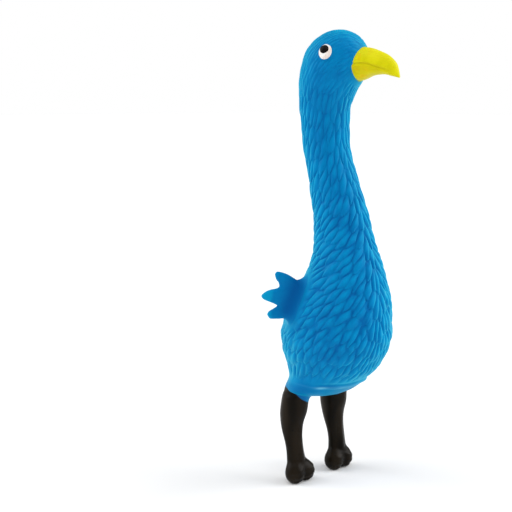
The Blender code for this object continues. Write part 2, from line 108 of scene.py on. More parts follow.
# Photograph's viewing angle
CAMERA_TURN = radians(-45)
CAMERA_LIFT = radians(8)
CAMERA_DISTANCE = 0.85
CAMERA_AIM_HEIGHT = 0.175
CAMERA_AIM_LEFT = 0.0482
CAMERA_LENS = 76.9

# Wings: the outline is in mm outward and upward from a wing's middle, finger by finger
WING_TURN = radians(118)
WING_AHEAD = 0.0245
WING_OUT = 0.0397
WING_HEIGHT = 0.147
WING_ROOT_HALF = 0.013  # half the length of its root, along the hinge
WING_REACH = (0.034, 0.034, 0.028)  # half the box that holds it
WING_THICK = 0.00205  # half its thickness
WING_SWELL = 0.0013  # added to that at the root
WING_EDGE = 0.0034  # how far in its edge is rounded
WING_FLARE = 0.0075  # how far it flares onto the body
WING_OUTLINE = MM * np.array((
    (8.6, -15.1), (13.0, -15.1), (17.5, -14.8), (19.2, -13.1), (20.0, -11.2),
    (18.5, -8.9), (14.9, -7.0), (12.3, -5.2), (14.3, -3.7), (19.2, -1.5),
    (23.0, 0.4), (24.6, 3.1), (21.6, 5.8), (17.8, 7.3), (12.9, 8.1),
    (10.6, 9.3), (11.1, 12.4), (12.9, 14.8), (13.9, 18.3), (13.2, 20.2),
    (11.5, 20.8), (7.2, 19.7), (3.1, 17.9), (-1.2, 15.2), (-3.6, 13.8),
    (-12.0, 12.0), (-17.0, 3.0), (-8.0, -13.0),
))

# A leg in mm: height, how far out and back of the ankle its middle is, and half sizes
LEG_STATIONS = MM * np.array((
    (3.0, 1.0, -2.2, 8.6, 6.4), (12.0, 1.3, -1.7, 8.8, 6.6),
    (18.0, 1.7, -0.9, 8.1, 6.2), (25.0, 2.0, 0.1, 7.5, 6.0),
    (32.0, 2.0, 1.5, 7.6, 6.4), (40.0, 1.9, 3.2, 8.2, 7.8),
    (48.0, 1.6, 4.0, 9.2, 9.4), (54.0, 1.1, 3.4, 10.0, 10.7),
    (60.0, 0.6, 2.8, 10.1, 11.1), (65.0, 0.1, 2.2, 9.8, 11.4),
    (69.0, -0.5, 1.6, 9.4, 11.4), (72.5, -0.5, 1.7, 7.5, 9.8),
    (76.5, -0.6, 1.2, 6.2, 8.5), (82.0, -1.2, 0.0, 4.5, 6.0),
))
# Toes: how far out of the ankle each one's middle is; then back and up, and half sizes
TOES_OUT = (0.0063, -0.0054)
TOE_BACK, TOE_UP = -0.0034, 0.0076
TOE_SIZE = (0.0074, 0.0076, 0.0082)
# Leg pieces: the bodies above and below, the joint, the piece's lower end, and the
# heights that bound its bend
LEG_BANDS = (
    ("torso", "thigh", "hip_swing", 0.0505, 0.0625, 0.0512),
    ("thigh", "shin", "knee_bend", 0.0305, 0.0495, 0.0340),
    ("shin", "foot", "ankle_bend", -1.0, 0.0290, 0.0130),
)
LEG_TOP = 0.0815
LEG_FLARE = 0.0035  # how far a leg flares onto the base
TOE_FLARE = 0.0034  # how far the toes flare onto the leg
PAINT_HEIGHT = 0.0687  # where the black paint ends above the ankle

# The beak in mm: along it from its root, then up from its line or half its width
BEAK_TURN = radians(15)  # the head looks to the bird's left
BEAK_HEIGHT = 0.3191
BEAK_ROOT = 0.0235  # from the head's middle
BEAK_TOP = MM * np.array((
    (-8.0, 14.6), (0.0, 14.7), (4.8, 14.2), (10.0, 12.9), (15.3, 11.0),
    (20.6, 8.1), (25.0, 4.6), (27.5, 0.7), (28.6, -3.6), (29.1, -7.0),
))
BEAK_BOTTOM = MM * np.array((
    (-8.0, -9.8), (-4.0, -10.1), (0.0, -9.6), (3.4, -8.3), (6.5, -7.0),
    (9.6, -6.2), (12.9, -5.8), (18.2, -5.8), (23.5, -6.8), (27.8, -7.8),
    (29.1, -8.1),
))
BEAK_MOUTH = MM * np.array((
    (-8.0, 2.4), (0.0, 2.5), (9.1, 2.0), (13.0, 0.4),
    (18.2, -1.1), (21.5, -2.4), (25.4, -4.6), (29.1, -7.6),
))
BEAK_HALF_WIDTH = MM * np.array((
    (-8.0, 14.8), (0.0, 14.4), (6.7, 11.9), (13.4, 9.5),
    (20.2, 7.0), (25.3, 4.6), (27.8, 2.6), (29.1, 1.0),
))

EYE_HEIGHT = 0.3298
EYE_TURN = radians(85)  # from the beak's line
EYE_LIFT = radians(19)
EYE_SIZE = (0.0050, 0.0058, 0.0017)  # half sizes across, up and out
PUPIL_SIZE = (0.0034, 0.0033, 0.0008)
PUPIL_UP, PUPIL_AFT, PUPIL_OUT = 0.0014, 0.0005, 0.00135  # from the eye's middle

# Squeaker: how far the edges of its pieces are rounded, and the grille's holes
HOUSING_ROUND = 0.0003
GRILLE_BEVEL = 0.00012
REED_BEVEL = 0.00006
HOLE_RING, HOLE_RADIUS = 0.0033, 0.0008

JOINTS = {j["name"]: j for j in frame["joints"]}


# ---------------- frame facts


def joint_point(name):
    return np.array(JOINTS[name]["pos_m"], float)


ANKLE = joint_point("ankle_bend_left")
NECK_JOINTS = ("neck_base_bend", "neck_low_sway", "neck_middle_bend", "neck_twist")
NECK_JOINTS += ("head_nod",)
NECK_POINTS = [joint_point(name) for name in NECK_JOINTS]
MIRROR = np.array([-1, 1, 1])


def length(v):
    return np.linalg.norm(v, axis=-1)


def unit(v):
    v = np.asarray(v, float)
    return v / length(v)[..., None]


def ease(low, high, x):
    """From 0 at low to 1 at high, also where low is the greater of the two."""
    t = np.clip((x - low) / (high - low), 0, 1)
    return t * t * (3 - 2 * t)


def bell(x, width):
    """1 where x is 0, falling to nearly 0 two widths away."""
    return np.exp(-((x / width) ** 2))


def balanced_tree(points):
    tree = KDTree(len(points))
    for i, point in enumerate(points):
        tree.insert(point, i)
    tree.balance()
    return tree


def full_turn(count):
    """Angles spread evenly around a circle."""
    return np.linspace(0, 2 * pi, count, endpoint=False)


def heading(turn, lift=0.0):
    """A unit vector turned from the front towards the bird's left, then lifted."""
    flat = cos(lift)
    return np.array([flat * sin(turn), -flat * cos(turn), sin(lift)])


def level_slice(node, height):
    """Middle and half sizes (x, y, half width, half depth) of a CAD node at a height."""
    mesh = frame["nodes"][node].data
    co = np.array([v.co for v in mesh.vertices])
    ends = np.array([e.vertices[:] for e in mesh.edges])
    a, b = co[ends[:, 0]], co[ends[:, 1]]
    cut = (a[:, 2] - height) * (b[:, 2] - height) < 0
    a, b = a[cut], b[cut]
    share = ((height - a[:, 2]) / (b[:, 2] - a[:, 2]))[:, None]
    points = (a + (b - a) * share)[:, :2]
    low, high = points.min(0), points.max(0)
    return [*(low + high) / 2, *(high - low) / 2]


def station(node, height):
    return [height, *level_slice(node, height)]


def skin_stations():
    """Rows of (height, x, y, half width, half depth) up the blue skin, from the CAD."""
    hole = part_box("squeaker_housing")
    middle = [(hole[0].x + hole[1].x) / 2, (hole[0].y + hole[1].y) / 2]
    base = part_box("torso_shell")[0].z
    rows = [[base, *middle, 0.0080, 0.0080], [base + 0.0002, *middle, 0.0120, 0.0100]]
    rows += [station("torso_shell", h / 1000) for h in TORSO_MM]
    for row in rows:
        slim = BELLY_SLIM * bell(row[0] - BELLY_HEIGHT, BELLY_REACH)
        row[2] += slim / 2
        row[4] -= slim / 2
    for i, share in enumerate(NECK_SHARES):
        low, high = NECK_POINTS[i][2], NECK_POINTS[i + 1][2]
        for height in (low + (high - low) * share, high):
            rows.append(station(f"neck_shell_{i + 1}", height))
    rows += [station("head_shell", h / 1000) for h in HEAD_MM]
    rows += crown_stations()
    return np.array(rows)


def crown_stations():
    """The top of the skull as a half ellipse, from the head's CAD box."""
    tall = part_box("head_shell")[1].z - CROWN_HEIGHT
    x, y, half_width, half_depth = level_slice("head_shell", CROWN_HEIGHT)
    rows = []
    for degrees in (15, 30, 45, 60, 72, 82, 90):
        angle = radians(degrees)
        height = CROWN_HEIGHT + tall * sin(angle)
        lean = CROWN_LEAN * sin(angle)
        shrink = cos(angle)
        rows.append([height, x, y - lean, half_width * shrink, half_depth * shrink])
    return rows


def spline(knots, values, at):
    """A natural cubic spline through rows of values, evaluated at places along it."""
    n = len(knots)
    gap = np.diff(knots)
    slope = np.diff(values, axis=0) / gap[:, None]
    matrix = np.eye(n)
    right = np.zeros_like(values)
    for i in range(1, n - 1):
        matrix[i, i - 1 : i + 2] = gap[i - 1], 2 * (gap[i - 1] + gap[i]), gap[i]
        right[i] = 6 * (slope[i] - slope[i - 1])
    bend = np.linalg.solve(matrix, right)
    i = np.clip(np.searchsorted(knots, at) - 1, 0, n - 2)
    h = gap[i][:, None]
    a = (knots[i + 1] - at)[:, None] / h
    b = (at - knots[i])[:, None] / h
    curve = ((a**3 - a) * bend[i] + (b**3 - b) * bend[i + 1]) * h**2 / 6
    return a * values[i] + b * values[i + 1] + curve


def side_run(rows):
    """How far each row is along the skin's side line."""
    step = length(np.diff(rows[:, [0, 3]], axis=0))
    return np.concatenate([[0], np.cumsum(step)])


def skin_rows():
    """The stations resampled evenly along the skin's side line."""
    stations = skin_stations()
    knots = side_run(stations)
    rows = spline(knots, stations, np.linspace(0, knots[-1], 4000))
    run = side_run(rows)
    count = int(run[-1] / RING_STEP)
    even = np.linspace(0, run[-1] - 0.0002, count)  # a cap closes the very tip
    return np.stack([np.interp(even, run, rows[:, k]) for k in range(5)], axis=1)


SKIN_ROWS = skin_rows()


# ---------------- the blue skin


def grid_normals(points):
    """Outward normals of a grid of closed rings stacked upwards."""
    around = np.roll(points, -1, axis=1) - np.roll(points, 1, axis=1)
    up = np.gradient(points, axis=0)
    return unit(np.cross(around, up))


def smooth_skin(rows):
    """The skin before its feathers: rings of points, angle 0 at the front midline."""
    angle = full_turn(RING_POINTS)
    height, x, y, half_width, half_depth = (rows[:, k : k + 1] for k in range(5))
    points = np.empty((len(rows), RING_POINTS, 3))
    points[..., 0] = x + half_width * np.sin(angle)
    points[..., 1] = y - half_depth * np.cos(angle)
    points[..., 2] = height
    return points, angle


def from_front(angle):
    """An angle around the skin as a turn from its front: below 0 on its right side."""
    return np.where(angle > pi, angle - 2 * pi, angle)


def beak_root():
    """The middle of the beak's root, on the skull."""
    x, y, _, _ = level_slice("head_shell", BEAK_HEIGHT)
    return np.array([x, y, BEAK_HEIGHT]) + heading(BEAK_TURN) * BEAK_ROOT


def feather_direction(points, normals, angle):
    """Which way feathers point: down and back on the body, away from the beak above."""
    height = points[..., 2]
    turn = from_front(angle)
    around = np.stack([np.cos(turn), np.sin(turn), np.zeros_like(turn)], axis=-1)
    quick = 1 - np.exp(-np.abs(turn) / radians(24))
    sweep = quick * ease(radians(178), radians(130), np.abs(turn))
    body = ease(0.240, 0.180, height)
    belly = 1 - 0.55 * ease(0.140, 0.098, height)
    lean = np.radians(12 + 36 * body * belly) * sweep * np.sign(turn)
    down = np.zeros_like(points)
    down[..., 2] = -1
    field = down * np.cos(lean)[..., None] + around * np.sin(lean)[..., None]

    away = points - beak_root()
    head = ease(0.297, 0.312, height)[..., None]
    pull = 2.6 * np.exp(-length(away)[..., None] / 0.040)
    field = field * (1 - head) + head * (unit(away) * pull + down)
    field -= normals * (field * normals).sum(-1, keepdims=True)
    return unit(field)


def feather_size(height):
    """Full width and length of a feather at a height."""
    sizes = (FEATHER_WIDE_MM, FEATHER_LONG_MM)
    return [np.interp(height, FEATHER_HEIGHTS, size) / 1000 for size in sizes]


def leaf_distance(offset, along, across, normal, wide, long):
    """How far offsets are from a feather's middle: 1 on the edge of its leaf shape."""
    x = np.abs((offset * along).sum(-1)) / (long / 2)
    y = np.abs((offset * across).sum(-1)) / (wide / 2)
    z = np.abs((offset * normal).sum(-1)) / 0.006
    return (x**LEAF_POWER + y**LEAF_POWER + z**3) ** (1 / LEAF_POWER)


def place_feathers(points, normals, field):
    """Feathers packed side by side: each new one as near the others as it may be."""
    rng = np.random.default_rng(SEED)
    flat, out = points.reshape(-1, 3), normals.reshape(-1, 3)
    along = field.reshape(-1, 3)
    wide, long = feather_size(flat[:, 2])
    jitter = rng.uniform(0, 0.12, len(flat))
    near = np.full(len(flat), np.inf)
    near[flat[:, 2] < HEM_HEIGHT + 0.002] = 0
    centres = []
    # the first one is on the midline of the back
    pick = int(np.argmin(np.abs(flat[:, 2] - 0.118) + np.abs(flat[:, 0]) - flat[:, 1]))
    while True:
        centres.append(pick)
        middle = flat[pick]
        close = np.flatnonzero(np.abs(flat - middle).max(axis=1) < 0.022)
        offset = flat[close] - middle
        across = np.cross(out[pick], along[pick])
        far = leaf_distance(
            offset, along[pick], across, out[pick], wide[pick] * 2, long[pick] * 2
        )
        near[close] = np.minimum(near[close], far)
        free = np.flatnonzero((near >= 1) & (near < np.inf))
        if not len(free):
            break
        pick = int(free[np.argmin(near[free] + jitter[free])])
    return np.array(centres)


class Feathers:
    """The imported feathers, and which of them are nearest to a point."""

    def __init__(self, centres, points, normals, field):
        self.points = points[centres]
        self.out = normals[centres]
        self.along = field[centres]
        self.across = np.cross(self.out, self.along)
        self.wide, self.long = feather_size(self.points[:, 2])
        self.tree = balanced_tree(self.points)

    def nearest(self, flat):
        """The nearest feather to each point, its distance and the next one's."""
        near = np.array([[hit[1] for hit in self.tree.find_n(p, 12)] for p in flat])
        offset = flat[:, None, :] - self.points[near]
        facts = (self.along, self.across, self.out, self.wide, self.long)
        far = leaf_distance(offset, *(fact[near] for fact in facts))
        order = np.argsort(far, axis=1)
        every = np.arange(len(flat))
        mine = near[every, order[:, 0]]
        return mine, far[every, order[:, 0]], far[every, order[:, 1]]


def settled_feathers(points, normals, field):
    """Packed feathers, each moved a few times to the middle of its own patch."""
    centres = place_feathers(points, normals, field)
    some = np.arange(0, len(points), 5)
    for _ in range(FEATHER_MOVES):
        feathers = Feathers(centres, points, normals, field)
        mine, _, _ = feathers.nearest(points[some])
        count = np.bincount(mine, minlength=len(centres))
        total = [np.bincount(mine, points[some, k], len(centres)) for k in range(3)]
        middle = np.stack(total, axis=-1) / np.maximum(count, 1)[:, None]
        tree = balanced_tree(points[some])
        moved = [some[tree.find(m)[1]] for m in middle]
        centres = np.where(count > 0, moved, centres)
    return Feathers(centres, points, normals, field)


def feather_relief(points, normals, angle):
    """Height of the pressed feathers, and a tone: painted shade 1 in a groove, a painted
    highlight below 0 on a crest.
    """
    shape = points.shape[:2]
    field = feather_direction(points, normals, angle)
    flat = points.reshape(-1, 3)
    feathers = settled_feathers(flat, normals.reshape(-1, 3), field.reshape(-1, 3))
    mine, first, second = feathers.nearest(flat)
    offset = flat - feathers.points[mine]
    forward = (offset * feathers.along[mine]).sum(-1) / (feathers.long[mine] / 2)
    aside = (offset * feathers.across[mine]).sum(-1) / (feathers.wide[mine] / 2)
    edge = (second - first) * feathers.wide[mine] * 0.40
    groove = np.exp(-((edge / GROOVE_WIDTH) ** 1.7))
    groove *= 0.40 + 0.60 * ease(-0.75, 0.45, wave_noise(flat, 0.014, 31))
    sides = np.abs(aside) / (np.abs(aside) + np.abs(forward) + 1e-6)
    groove *= 0.50 + 0.50 * ease(0.15, 0.55, sides)
    crown = 1 - np.clip(first, 0, 1.2) ** 2
    relief = FEATHER_CROWN * crown + FEATHER_LIFT * np.clip(forward, -1.1, 1.1)
    relief -= GROOVE_DEPTH * groove
    # the tone is painted shade in the grooves and a painted highlight on each feather's crest
    tone = groove - 0.35 * crown * ease(1.1, -0.6, forward)
    return relief.reshape(shape), tone.reshape(shape)


def wing_root_distances(points, half):
    """How far points are from each wing's hinge line, out to half its length."""
    for side in ("left", "right"):
        axis = unit(JOINTS[f"wing_flap_{side}"]["axis"])
        offset = points - joint_point(f"wing_flap_{side}")
        along = np.clip(offset @ axis, -half, half)
        yield length(offset - along[..., None] * axis)


def relief_strength(points):
    """Where the feathers are pressed: full on the body, none on base and wing roots."""
    height = points[..., 2]
    strength = ease(HEM_HEIGHT + 0.0010, HEM_HEIGHT + 0.011, height)
    for away in wing_root_distances(points, WING_ROOT_HALF):
        strength *= ease(0.0095, 0.0165, away)
    strength *= 1 - 0.20 * ease(0.130, 0.095, height)
    strength *= 1 - 0.35 * ease(0.185, 0.270, height)
    strength *= 1 - 0.40 * ease(0.290, 0.318, height)
    beak = length(points - beak_root())
    return strength * ease(0.014, 0.018, beak)


def hem_front(angle):
    """1 where the hem is plain to see at the front, falling to 0.1 behind."""
    turn = np.abs(from_front(angle))
    return 0.10 + 0.90 * np.exp(-((turn / radians(64)) ** 6))


def hem_line(angle):
    """The hem's height, a little lower and wavy at the front."""
    wave = 0.0004 * np.sin(3 * angle + 0.5) + 0.0002 * np.sin(7 * angle)
    return HEM_HEIGHT + wave - 0.0006 * np.cos(angle)


def hem_relief(points, angle):
    """The rolled lip under the belly: strongest at the front, faint at the back."""
    rise = points[..., 2] - hem_line(angle)
    lip = 0.0007 * bell(rise, 0.0010)
    crease = -0.0006 * bell(rise - 0.0028, 0.0013)
    return (lip + crease) * hem_front(angle)


def hem_shine(points, angle):
    """Painted highlights along the lip's crest and the base's lower edge."""
    rise = points[..., 2] - hem_line(angle)
    patchy = ease(-0.5, 0.5, wave_noise(points, 0.013, 21))
    turn = np.abs(from_front(angle))
    # a brighter painted highlight streak on each side of the front
    streak = 1.3 * bell(turn - radians(54), radians(7))
    crest = bell(rise - 0.0004, 0.0006) * (0.3 + 0.4 * patchy + streak)
    low = SKIN_ROWS[0, 0] + 0.0016
    rim = 0.45 * bell(points[..., 2] - low, 0.0006)
    return np.maximum(crest, rim) * hem_front(angle)


def wing_shade(points):
    """Painted shade: 1 at the roots of the wings, 0 on the body, below 0 out along the fingers
    for a painted highlight.
    """
    shade = np.zeros(points.shape[:-1])
    for away in wing_root_distances(points, WING_ROOT_HALF * 0.6):
        shade = np.maximum(shade, bell(away, 0.0105))
    return shade - 0.3 * ease(0.046, 0.053, np.abs(points[..., 0]))


def base_shade(points):
    """Painted shade: the base under the belly is a little deeper than the belly."""
    height = points[..., 2]
    return 0.5 * ease(HEM_HEIGHT + 0.006, HEM_HEIGHT - 0.004, height)


def wave_noise(points, scale, seed):
    """Smooth lumps from a few plane waves, between about -1 and 1."""
    rng = np.random.default_rng(seed)
    total = np.zeros(points.shape[:-1])
    for _ in range(10):
        direction = unit(rng.normal(size=3))
        phase = rng.uniform(0, 2 * pi)
        total += np.sin(points @ direction * (2 * pi / scale) + phase)
    return total / 5


def beak_spray(points):
    """Where the beak's paint strays onto the head around its root."""
    away = points - beak_root()
    along = away @ heading(BEAK_TURN)
    radius = length(away - along[..., None] * heading(BEAK_TURN))
    ragged = 0.00028 * wave_noise(points, 0.006, 9)
    limit = 0.0128 + 0.0020 * np.clip(away[..., 2] / 0.010, -1, 1)
    return ease(0.0003, -0.0003, radius + ragged - limit) * (along > -0.012)


def painted_skin(points):
    """Where the legs' black paint runs onto the base."""
    mirror = points.copy()
    mirror[..., 0] = np.abs(mirror[..., 0])
    low = points[..., 2] < 0.085
    paint = np.zeros(points.shape[:-1])
    near = ease(0.0010, 0.0004, leg_field(mirror[low]))
    paint[low] = near * leg_paint(mirror[low])
    return paint


def build_skin_grid():
    """The feathered skin's points and normals, and its values for the material."""
    points, angle = smooth_skin(SKIN_ROWS)
    normals = grid_normals(points)
    relief, groove = feather_relief(points, normals, angle)
    strength = relief_strength(points)
    push = relief * strength + hem_relief(points, angle) - FEATHER_SINK * strength
    push += 0.00010 * wave_noise(points, 0.012, 3) + 0.00014 * wave_noise(points, 0.030, 4)
    skin = points + normals * push[..., None]
    # groove carries painted shade and crest highlights, shine painted highlights, shade painted
    # shade at the wing roots and base; spray and paint are real paint
    marks = {
        "groove": groove * strength,
        "spray": beak_spray(points),
        "shine": hem_shine(points, angle),
        "shade": np.maximum(wing_shade(points), base_shade(points)),
        "paint": painted_skin(points),
    }
    return skin, grid_normals(skin), marks


def ring_mesh(name, points, cap_low=True, cap_high=True):
    """A tube of closed rings, filled at its ends where wanted."""
    rings, count = points.shape[:2]
    index = np.arange(rings * count).reshape(rings, count)
    nxt = np.roll(index, -1, axis=1)
    quads = np.stack([index[:-1], nxt[:-1], nxt[1:], index[1:]], axis=-1).reshape(-1, 4)
    verts = points.reshape(-1, 3).tolist()
    faces = quads.tolist()
    for ring, wanted in ((0, cap_low), (rings - 1, cap_high)):
        if not wanted:
            continue
        middle = len(verts)
        verts.append(points[ring].mean(axis=0).tolist())
        for a, b in zip(index[ring], nxt[ring]):
            faces.append((middle, b, a) if ring == 0 else (middle, a, b))
    mesh = bpy.data.meshes.new(name)
    mesh.from_pydata(verts, [], faces)
    mesh.shade_smooth()
    return mesh


def add_attribute(mesh, name, values):
    """A value on each point, for the material; cap points get the last one."""
    layer = mesh.attributes.new(name, "FLOAT", "POINT")
    full = np.full(len(mesh.vertices), values.ravel()[-1], np.float32)
    full[: values.size] = values.ravel()
    layer.data.foreach_set("value", full)


def keep_normals(mesh, normals):
    """Gives ring points the whole skin's normals, so that cut edges don't show."""
    flat = normals.reshape(-1, 3)
    full = np.zeros((len(mesh.vertices), 3))
    full[:, 2] = 1
    full[: len(flat)] = flat
    mesh.normals_split_custom_set_from_vertices(full.tolist())


def add_object(name, mesh, material):
    thing = bpy.data.objects.new(name, mesh)
    bpy.context.scene.collection.objects.link(thing)
    mesh.materials.append(material)
    return thing


def settle(piece, slot, *nodes, body=None):
    """Hides the CAD nodes that a piece replaces, and attaches it to its body if one is given."""
    if body:
        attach(piece, body)
    for node in nodes:
        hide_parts(node)


def make_skin(material):
    """The skin in five pieces, each reaching across one joint of the neck."""
    skin, normals, marks = build_skin_grid()
    ring_height = skin[..., 2].mean(axis=1)
    joints = [p[2] for p in NECK_POINTS]
    cuts = [(a + b) / 2 for a, b in zip(joints, joints[1:])]
    edges = [0] + [int(np.argmin(np.abs(ring_height - c))) for c in cuts]
    edges += [len(skin) - 1]
    bodies = ("torso", "neck_1", "neck_2", "neck_3", "neck_4", "head")
    nodes = ("torso_shell", *(f"neck_shell_{k}" for k in (1, 2, 3, 4)), "head_shell")
    for k in range(5):
        part = slice(edges[k], edges[k + 1] + 1)
        name = f"skin_{bodies[k]}_to_{bodies[k + 1]}"
        mesh = ring_mesh(name, skin[part], False, k == 4)
        for key, values in marks.items():
            add_attribute(mesh, key, values[part])
        keep_normals(mesh, normals[part])
        piece = add_object(name, mesh, material)
        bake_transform(piece)
        settle(piece, "blue_latex", *(nodes[4:] if k == 4 else nodes[k : k + 1]))


# ---------------- rounded shapes


def soft_min(a, b, reach):
    """The union of two distance fields, rounded where they meet."""
    mix = np.clip(0.5 + 0.5 * (b - a) / reach, 0, 1)
    return b * (1 - mix) + a * mix - reach * mix * (1 - mix)


def soft_max(a, b, reach):
    """What two distance fields have in common, rounded where they meet."""
    return -soft_min(-a, -b, reach)


def field_surface(field, low, high, step):
    """Points, outward normals and quads of the surface where a field is zero."""
    axes = [np.arange(a, b + step, step) for a, b in zip(low, high)]
    grid = np.stack(np.meshgrid(*axes, indexing="ij"), axis=-1)
    value = field(grid)
    inside = value < 0
    cells = tuple(n - 1 for n in value.shape)
    total, count = np.zeros((*cells, 3)), np.zeros(cells)

    def corner(array, bits):
        return array[tuple(slice(b, b + n) for b, n in zip(bits, cells))]

    # each cell's point is the middle of where the surface crosses the cell's 12 edges
    for a, axis in product(np.ndindex(2, 2, 2), range(3)):
        if a[axis]:
            continue
        b = tuple(1 if n == axis else a[n] for n in range(3))
        cross = corner(inside, a) != corner(inside, b)
        va, vb = corner(value, a)[cross], corner(value, b)[cross]
        pa, pb = corner(grid, a)[cross], corner(grid, b)[cross]
        total[cross] += pa + (pb - pa) * (va / (va - vb))[:, None]
        count[cross] += 1
    used = count > 0
    points = total[used] / count[used][:, None]
    index = np.full(cells, -1)
    index[used] = np.arange(len(points))

    # one quad through the four cells around each grid edge that crosses the surface
    quads = []
    for axis in range(3):
        others = [n for n in range(3) if n != axis]
        ends = np.moveaxis(inside, axis, 0)
        where = np.argwhere(np.moveaxis(ends[:-1] != ends[1:], 0, axis))
        for n in others:
            where = where[(where[:, n] >= 1) & (where[:, n] < cells[n])]
        around = []
        for back in ((1, 1), (0, 1), (0, 0), (1, 0)):
            at = where.copy()
            at[:, others] -= back
            around.append(index[tuple(at.T)])
        quad = np.stack(around, axis=-1)
        flip = inside[tuple(where.T)] ^ (axis == 1)
        quad[~flip] = quad[~flip][:, ::-1]
        quads.append(quad)
    quads = np.concatenate(quads)

    for _ in range(3):
        slope = field_slope(field, points)
        size = np.maximum((slope**2).sum(-1, keepdims=True), 0.05)
        move = -field(points)[:, None] * slope / size
        points = points + np.clip(move, -step, step)
    return points, unit(field_slope(field, points)), quads


def field_slope(field, points, reach=0.00015):
    """How fast a field grows along x, y and z."""
    slope = np.empty_like(points)
    for n in range(3):
        nudge = np.zeros(3)
        nudge[n] = reach
        slope[..., n] = (field(points + nudge) - field(points - nudge)) / (2 * reach)
    return slope


def surface_piece(name, points, normals, quads, material, **attributes):
    """An object from quads, without the points they don't use."""
    used, flat = np.unique(quads, return_inverse=True)
    mesh = bpy.data.meshes.new(name)
    mesh.from_pydata(points[used].tolist(), [], flat.reshape(quads.shape).tolist())
    mesh.shade_smooth()
    for key, values in attributes.items():
        add_attribute(mesh, key, values[used])
    mesh.normals_split_custom_set_from_vertices(normals[used].tolist())
    return add_object(name, mesh, material)


def mirrored(points, normals, quads):
    return points * MIRROR, normals * MIRROR, quads[:, ::-1]


def body_field(points):
    """Roughly how far points are outside the smooth body."""
    x, y, z = points[..., 0], points[..., 1], points[..., 2]
    middle, half_width, half_depth = (
        np.interp(z, SKIN_ROWS[:, 0], SKIN_ROWS[:, k]) for k in (2, 3, 4)
    )
    y = y - middle
    size = np.sqrt((x / half_width) ** 2 + (y / half_depth) ** 2) + 1e-9
    return (1 - 1 / size) * np.sqrt(x**2 + y**2) * 0.92


# ---------------- wings


def closed_curve(points, steps):
    """A closed Catmull-Rom curve through flat points."""
    a, b, c, d = (np.roll(points, k, axis=0)[:, None, :] for k in (1, 0, -1, -2))
    t = (np.arange(steps) / steps)[None, :, None]
    curve = 2 * b + (c - a) * t + (2 * a - 5 * b + 4 * c - d) * t**2
    curve = curve + (3 * b - a - 3 * c + d) * t**3
    return (0.5 * curve).reshape(-1, 2)


def outline_distance(outline, points):
    """Distance of flat points outside a closed outline, negative inside."""
    start, end = outline, np.roll(outline, -1, axis=0)
    near = np.full(len(points), np.inf)
    inside = np.zeros(len(points), bool)
    for a, b in zip(start, end):
        edge, offset = b - a, points - a
        share = np.clip(offset @ edge / (edge @ edge), 0, 1)
        near = np.minimum(near, length(offset - share[:, None] * edge))
        spans = (a[1] <= points[:, 1]) != (b[1] <= points[:, 1])
        if spans.any():
            at = a[0] + (points[:, 1] - a[1]) / (b[1] - a[1] + 1e-12) * edge[0]
            inside ^= spans & (points[:, 0] < at)
    return np.where(inside, -near, near)


def outline_table(outline, low, high, step):
    """The distance from an outline, kept on a fine grid and read between its points."""
    size = [int((b - a) / step) + 2 for a, b in zip(low, high)]
    axes = (a + np.arange(n) * step for a, n in zip(low, size))
    grid = np.stack(np.meshgrid(*axes, indexing="ij"), axis=-1)
    value = outline_distance(outline, grid.reshape(-1, 2)).reshape(size)

    def read(u, v):
        s = np.clip((u - low[0]) / step, 0, size[0] - 1.001)
        t = np.clip((v - low[1]) / step, 0, size[1] - 1.001)
        i, j = s.astype(int), t.astype(int)
        s, t = s - i, t - j
        near = value[i, j] * (1 - s) + value[i + 1, j] * s
        far = value[i, j + 1] * (1 - s) + value[i + 1, j + 1] * s
        return near * (1 - t) + far * t

    return read


def wing_surface():
    """The left wing's surface, which flares onto the body; its middle and direction."""
    out = heading(WING_TURN)
    across = np.array([-out[1], out[0], 0])
    middle = np.array([0, ANKLE[1] - WING_AHEAD, WING_HEIGHT]) + out * WING_OUT
    outline = closed_curve(WING_OUTLINE, 14)
    flat = outline_table(outline, (-0.012, -0.028), (0.032, 0.028), 0.0002)

    def field(points):
        offset = points - middle
        u, w, v = offset @ out, offset @ across, offset[..., 2]
        edge = flat(u, v)
        root = ease(0.020, -0.002, u)
        thick = WING_THICK + WING_SWELL * root
        soft = WING_EDGE + 0.0012 * root
        inset = np.maximum(0, 1 + edge / soft)
        wing = (np.sqrt(inset**2 + (w / thick) ** 2) - 1) * thick
        return soft_min(wing, body_field(points) + UNDER_SKIN, WING_FLARE)

    low, high = middle - WING_REACH, middle + WING_REACH
    low[0] = 0.012  # farther in, there is only body
    points, normals, quads = field_surface(field, low, high, WING_STEP)
    keep = (body_field(points) > -0.00035)[quads].any(axis=1)
    return points, normals, quads[keep], middle, out


def make_wings(material):
    """Both wings: the right one is the left one mirrored."""
    *shape, middle, out = wing_surface()
    start, end = middle - out * 0.003, middle + out * 0.0075
    for label in ("left", "right"):
        shade = wing_shade(shape[0])
        wing = surface_piece(f"wing_skin_{label}", *shape, material, shade=shade)
        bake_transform(wing)
        settle(wing, "blue_latex", f"wing_{label}")
        shape = mirrored(*shape)
        start, end = start * MIRROR, end * MIRROR


# ---------------- legs and feet


